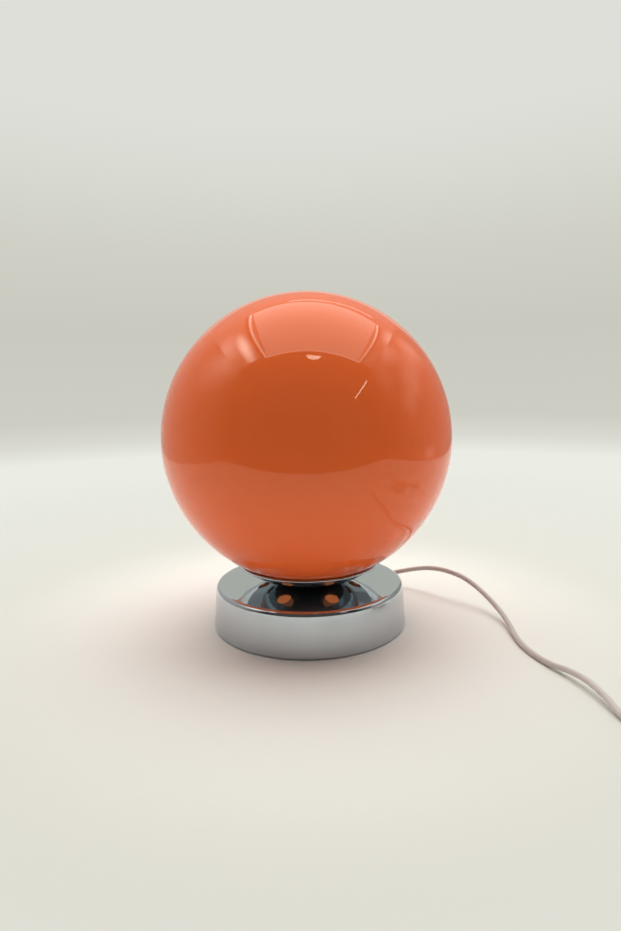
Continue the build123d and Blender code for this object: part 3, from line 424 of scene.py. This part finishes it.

# Away from the lamp the table top's colour turns a little grey: painted shade that tones the far floor down
# to the light level wanted there. Then it fades into the backdrop's own foot colour, self-lit, so that no
# horizon shows.
tree = paper.node_tree
shader = tree.nodes["Principled BSDF"]
surface = tree.nodes["Material Output"].inputs["Surface"]
place = add(tree, "ShaderNodeTexCoord").outputs["Object"]
away = add(tree, "ShaderNodeVectorMath", {0: place}, operation="LENGTH").outputs["Value"]
# painted shade: the card's colour darkens with distance from the lamp
painted_shade_away_from_lamp = add(tree, "ShaderNodeMapRange", {"Value": away, "From Min": 0.09, "From Max": 0.33},
             interpolation_type="SMOOTHSTEP")
tint = add(tree, "ShaderNodeMix", {"Factor": painted_shade_away_from_lamp.outputs[0], 6: linear(near_white),
                                     7: linear(far_white_painted_shade)}, data_type="RGBA")
tree.links.new(tint.outputs[2], shader.inputs["Base Color"])
fade = add(tree, "ShaderNodeMapRange", {"Value": away, "From Min": 0.2, "From Max": 1.0},
           interpolation_type="SMOOTHSTEP")
far = add(tree, "ShaderNodeEmission", {"Color": linear(horizon)})
mixed = add(tree, "ShaderNodeMixShader", {0: fade.outputs[0], 1: shader.outputs[0], 2: far.outputs[0]})
tree.links.new(mixed.outputs[0], surface)

# The tent that mirrors show. Its side walls and table top come further forward than its ceiling.
west, east, front, back, ceiling_z = -0.8, 0.77, -0.33, 1.5, 1.0
side_front, table_front = -0.75, -0.53
window_l, window_r, window_f, window_b, window_z = -0.36, 0.55, -0.345, 0.52, 0.99
seam_z = 0.985

# Three layers of one white card. The lowest throws the light back and keeps the room's light from coming up
# from below; its colour is painted lighter, as painted light that it bounces onto the lamp. The middle one is
# what the camera sees, and the top one is what mirrors show, painted darker: painted shade in the
# reflections.
table_half, layer_step = 3.0, 0.0003
whole_table = (-table_half, table_half, -table_half, table_half)
stage_piece("table_top", level_card(*whole_table, 0), [(0, 1, 2, 3)], paper, camera=True, transmission=True)
stage_piece("table_top_bounce", level_card(*whole_table, -layer_step), [(0, 1, 2, 3)], bounce_card_painted_lighter,
            diffuse=True, shadow=True)
stage_piece("table_top_in_mirrors", level_card(west, east, table_front, back, layer_step),
            [(0, 1, 2, 3)], mirror_card_painted_darker, glossy=True)

# Backdrop: a bowl of paper with a flat floor, a sweep and a wall, self-lit in colours set by its height in
# metres. These are painted light and shade: darker part way up the wall and lighter at its foot and top, as
# the studio light fell on it.
wall_painted_shading = [(0.0, horizon), (0.012, "E4E5DD"), (0.04, "D9D9D1"), (0.1, "CDCDC3"), (0.37, "C9C9BF"),
               (0.62, "D0D0C6"), (0.86, "DADBD3"), (1.0, "DEDFD8")]
backdrop_paper, tree, surface = blank("backdrop_paper")
place = add(tree, "ShaderNodeTexCoord").outputs["Object"]
height = add(tree, "ShaderNodeSeparateXYZ", {"Vector": place}).outputs["Z"]
height_painted_shading = add(tree, "ShaderNodeValToRGB", {"Fac": height})
stops = height_painted_shading.color_ramp.elements
for position, code in wall_painted_shading[1:-1]:
    stops.new(position).color = linear(code)
stops[0].color, stops[-1].color = linear(wall_painted_shading[0][1]), linear(wall_painted_shading[-1][1])
light = add(tree, "ShaderNodeEmission", {"Color": height_painted_shading.outputs["Color"]})
tree.links.new(light.outputs[0], surface)

bowl_r, bowl_sweep, bowl_top, bowl_lift, bowl_count = 1.3, 0.2, 2.6, 0.0002, 96
bowl = np.concatenate([arc((bowl_r, bowl_sweep), bowl_sweep - bowl_lift, -90, 0, 12),
                       [(bowl_r + bowl_sweep, bowl_top)]])
stage_piece("backdrop", revolved(bowl, bowl_count).tolist(), ring_quads(len(bowl), bowl_count),
            backdrop_paper, camera=True, transmission=True)

# The white tent in the mirror finishes: back, sides with a soft fall towards the open front, and a ceiling
# with a window.
back_corners = [(west, back, 0), (east, back, 0), (east, back, ceiling_z), (west, back, ceiling_z)]
stage_piece("tent_back", back_corners, [(0, 1, 2, 3)], backdrop_paper, glossy=True)
card("tent_ceiling", level_card(west, east, front, back, ceiling_z),
     [(front, 0.9), (0.5, 0.85), (0.8, 0.72), (1.3, 0.55)],
     [((-0.72, 0.1, ceiling_z), (0.27, 0.38, 1), 1.9), ((-0.545, -0.1, ceiling_z), (0.1, 0.4, 1), 7.0),
      ((0.77, 0.42, ceiling_z), (0.16, 0.34, 1), 2.0)])
card("tent_left", upright_card(west, side_front, back, ceiling_z),
     [(-0.55, 0.03), (-0.3, 0.28), (0.0, 0.46), (0.3, 0.54), (0.9, 0.62)],
     [((west, 0.0, 0.8), (1, 0.38, 0.32), 0.9), ((west, -0.1, 1.02), (1, 0.4, 0.3), 1.3)])
card("tent_right", upright_card(east, side_front, back, ceiling_z),
     [(-0.5, 0.02), (-0.2, 0.22), (0.0, 0.38), (0.4, 0.42), (1.3, 0.4)],
     [((east, y, z), (1, wide_y, wide_z), more) for y, z, wide_y, wide_z, more in (
         (0.55, 0.78, 0.34, 0.28, 0.85), (0.25, 0.68, 0.26, 0.22, 0.6), (0.06, 0.56, 0.24, 0.2, 0.8),
         (-0.1, 0.43, 0.18, 0.15, 0.65), (0.12, 0.05, 0.14, 0.07, 0.6), (0.1, 0.97, 0.34, 0.28, 1.4),
         (-0.25, 0.8, 0.24, 0.28, 0.55))])
card("window", level_card(window_l, window_r, window_f, window_b, window_z),
     [(window_f, 2.3), (0.1, 2.15), (window_b, 2.3)])
run = np.linspace(0, 1, 9)
for name, x, bow in (("left", window_l - 0.015, -0.035), ("right", window_r + 0.015, 0.03)):
    edge = np.stack([x + bow * np.sin(pi * run), window_f + (window_b - window_f) * run,
                     np.full(len(run), seam_z)], -1)
    strip("window_seam_" + name, edge, 0.024, 3.6)
    strip("window_fold_" + name, edge + [0.8 * bow, 0, 0.001], 0.03, 0.3)
strip("window_seam_back", [(-0.1, 0.59, seam_z), (0.2, 0.63, seam_z), (0.5, 0.68, seam_z)], 0.03, 3.0,
      (0, 1, 0))
strip("window_edge_front", [(window_l, window_f, 0.984), (window_r, window_f, 0.984)], 0.018, 3.4, (0, 1, 0))
spot_turn = np.linspace(0, pi, 13)
stage_piece("ceiling_spot", [(0.085 + 0.07 * cos(a), -0.405 - 0.06 * sin(a), 0.98) for a in spot_turn],
            [tuple(range(len(spot_turn)))], glow("ceiling_spot", [(0, 9.0)]), glossy=True)
strip("studio_tube", [(0.488, -0.628, 0.611), (0.58, -0.42, 0.735)], 0.012, 9.0, (0.8, 0, -0.6))

# The room: pale where it is seen straight and dim in mirrors. The light it gives is weaker from the front,
# where the tent is open.
world = bpy.data.worlds.new("room")
world.use_nodes = True
tree = world.node_tree
tree.nodes.clear()
path = add(tree, "ShaderNodeLightPath").outputs
straight = add(tree, "ShaderNodeMath", {0: path["Is Camera Ray"], 1: path["Is Transmission Ray"]},
               operation="MAXIMUM")
towards = add(tree, "ShaderNodeTexCoord").outputs["Generated"]
towards_y = add(tree, "ShaderNodeSeparateXYZ", {"Vector": towards}).outputs["Y"]
level = add(tree, "ShaderNodeMapRange", {"Value": towards_y, "From Min": -0.5, "From Max": 0.4,
                                         "To Min": 0.1, "To Max": 1.1}, interpolation_type="SMOOTHSTEP")
ambient = add(tree, "ShaderNodeBackground", {"Color": linear("FDFDFF"), "Strength": level.outputs[0]})
direct = add(tree, "ShaderNodeBackground", {"Color": linear("DEDFD8")})
mirror = add(tree, "ShaderNodeBackground", {"Color": linear("4A443F")})
mixed = add(tree, "ShaderNodeMixShader", {0: straight.outputs[0], 1: ambient.outputs[0],
                                          2: direct.outputs[0]})
mixed = add(tree, "ShaderNodeMixShader", {0: path["Is Glossy Ray"], 1: mixed.outputs[0],
                                          2: mirror.outputs[0]})
add(tree, "ShaderNodeOutputWorld", {"Surface": mixed.outputs[0]})
bpy.context.scene.world = world

overhead = bpy.data.lights.new("overhead_softbox", "AREA")
overhead.shape, overhead.size, overhead.size_y = "RECTANGLE", 2.2, 1.3
overhead.energy = 28.0
overhead.color = (1.0, 0.985, 0.965)
softbox = bpy.data.objects.new("overhead_softbox", overhead)
softbox.location = (0.1, 0.2, 1.7)
softbox.visible_glossy = False
softbox.visible_camera = False
bpy.context.scene.collection.objects.link(softbox)

bpy.context.scene.view_settings.view_transform = "Standard"
